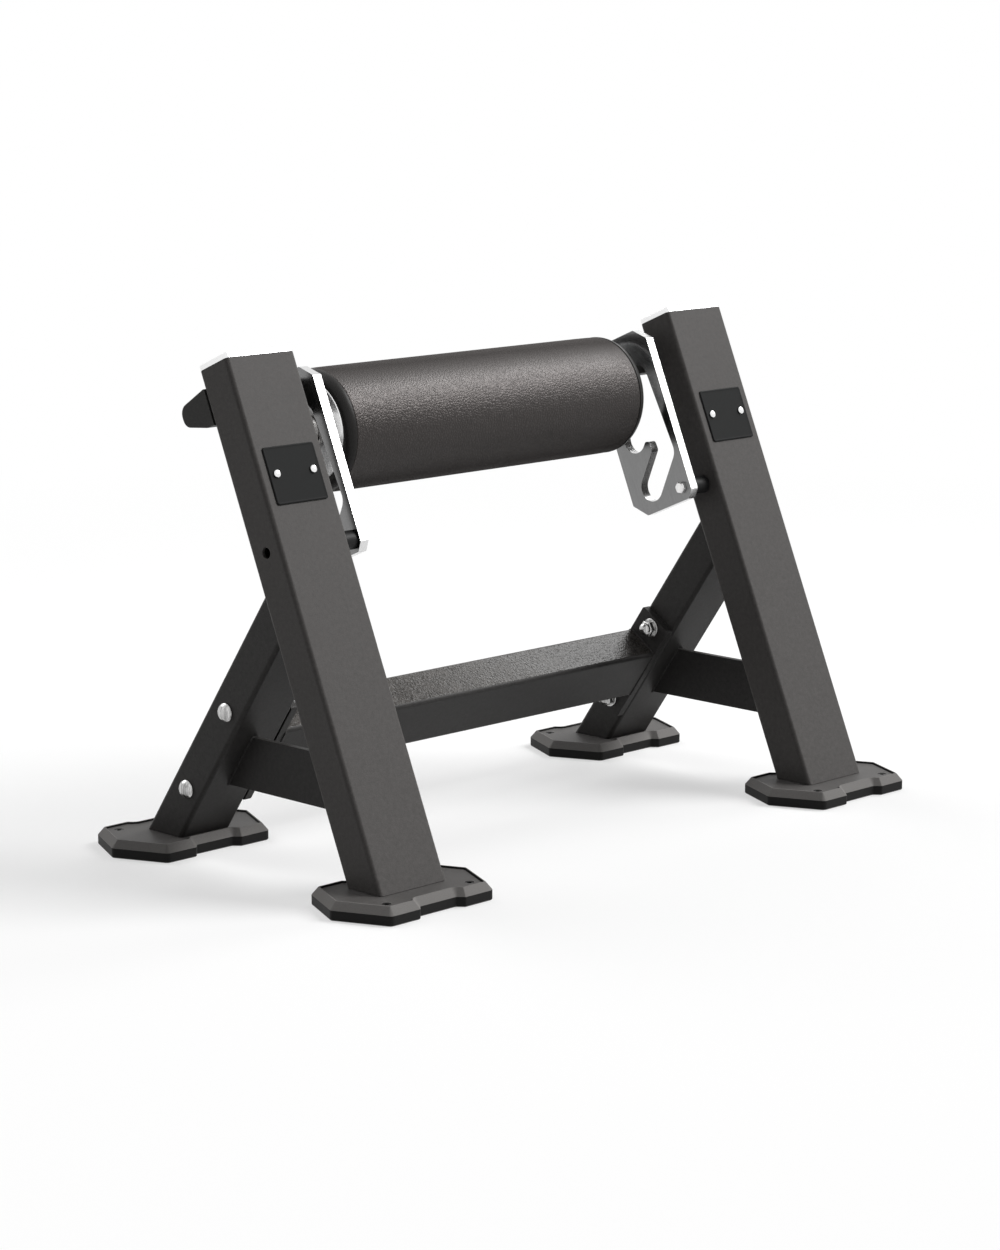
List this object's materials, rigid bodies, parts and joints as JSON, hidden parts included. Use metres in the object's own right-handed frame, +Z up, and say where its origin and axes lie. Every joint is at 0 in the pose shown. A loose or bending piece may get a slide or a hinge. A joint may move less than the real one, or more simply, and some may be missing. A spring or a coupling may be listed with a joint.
{
  "type": "split squat bench",
  "caption": "Low gym bench: leaning posts on wide feet, braced by rear legs and a crossbar, hold a padded roller whose axle rests in notched plates at a chosen height.",
  "frame": {"origin": "on the floor, below the middle of the bench's bounding box", "axes": "+X to the right along the roller, +Y to the rear, the way the posts lean, +Z up"},
  "size_m": [0.9308, 0.4998, 0.5879],
  "materials": {
    "frame_paint": "satin powder coat",
    "base_paint": "satin powder coat",
    "cap_metal": "bright",
    "polished_steel": "polished",
    "bolt_steel": "bright plated",
    "shoe_rubber": "matte",
    "screw_steel": "blackened",
    "spacer_plastic": "matte",
    "badge_plastic": "semi-gloss",
    "rivet_steel": "bright",
    "axle_steel": "ground",
    "core_steel": "plain",
    "pad_leather": "fine grain",
    "ring_plastic": "gloss",
    "disc_steel": "polished",
    "bearing_steel": "ground"
  },
  "bodies": {
    "frame": {"crossbar": "frame_paint", "left_badge": "badge_plastic", "left_badge_left_rivet": "rivet_steel", "left_badge_right_rivet": "rivet_steel", "left_crossbar_plate": "frame_paint", "left_front_base": "base_paint", "left_front_inner_base_screw": "screw_steel", "left_front_outer_base_screw": "screw_steel", "left_front_shoe": "shoe_rubber", "left_lower_bolt": "bolt_steel", "left_lower_cap_nut": "bolt_steel", "left_notch_plate": "polished_steel", "left_plate_bolt": "bolt_steel", "left_plate_bracket": "frame_paint", "left_plate_spacer": "spacer_plastic", "left_post": "frame_paint", "left_post_cap": "cap_metal", "left_rear_base": "base_paint", "left_rear_inner_base_screw": "screw_steel", "left_rear_leg": "frame_paint", "left_rear_outer_base_screw": "screw_steel", "left_rear_shoe": "shoe_rubber", "left_tie_bar": "frame_paint", "left_upper_bolt": "bolt_steel", "left_upper_cap_nut": "bolt_steel", "right_badge": "badge_plastic", "right_badge_left_rivet": "rivet_steel", "right_badge_right_rivet": "rivet_steel", "right_crossbar_plate": "frame_paint", "right_front_base": "base_paint", "right_front_inner_base_screw": "screw_steel", "right_front_outer_base_screw": "screw_steel", "right_front_shoe": "shoe_rubber", "right_lower_bolt": "bolt_steel", "right_lower_cap_nut": "bolt_steel", "right_notch_plate": "polished_steel", "right_plate_bolt": "bolt_steel", "right_plate_bracket": "frame_paint", "right_plate_spacer": "spacer_plastic", "right_post": "frame_paint", "right_post_cap": "cap_metal", "right_rear_base": "base_paint", "right_rear_inner_base_screw": "screw_steel", "right_rear_leg": "frame_paint", "right_rear_outer_base_screw": "screw_steel", "right_rear_shoe": "shoe_rubber", "right_tie_bar": "frame_paint", "right_upper_bolt": "bolt_steel", "right_upper_cap_nut": "bolt_steel"},
    "axle": {"axle": "axle_steel"},
    "roller": {"roller_core": "core_steel", "roller_pad": "pad_leather", "left_end_ring": "ring_plastic", "left_end_disc": "disc_steel", "left_bearing": "bearing_steel", "right_end_ring": "ring_plastic", "right_end_disc": "disc_steel", "right_bearing": "bearing_steel"}
  },
  "joints": [
    {"name": "axle_lift", "type": "slide", "parent": "frame", "child": "axle", "axis": [0, -0.8674, 0.4975], "range_m": [0, 0.0385]},
    {"name": "roller_spin", "type": "hinge", "parent": "axle", "child": "roller", "pos_m": [0, 0.08582, 0.48079], "axis": [1, 0, 0], "continuous": true}
  ]
}
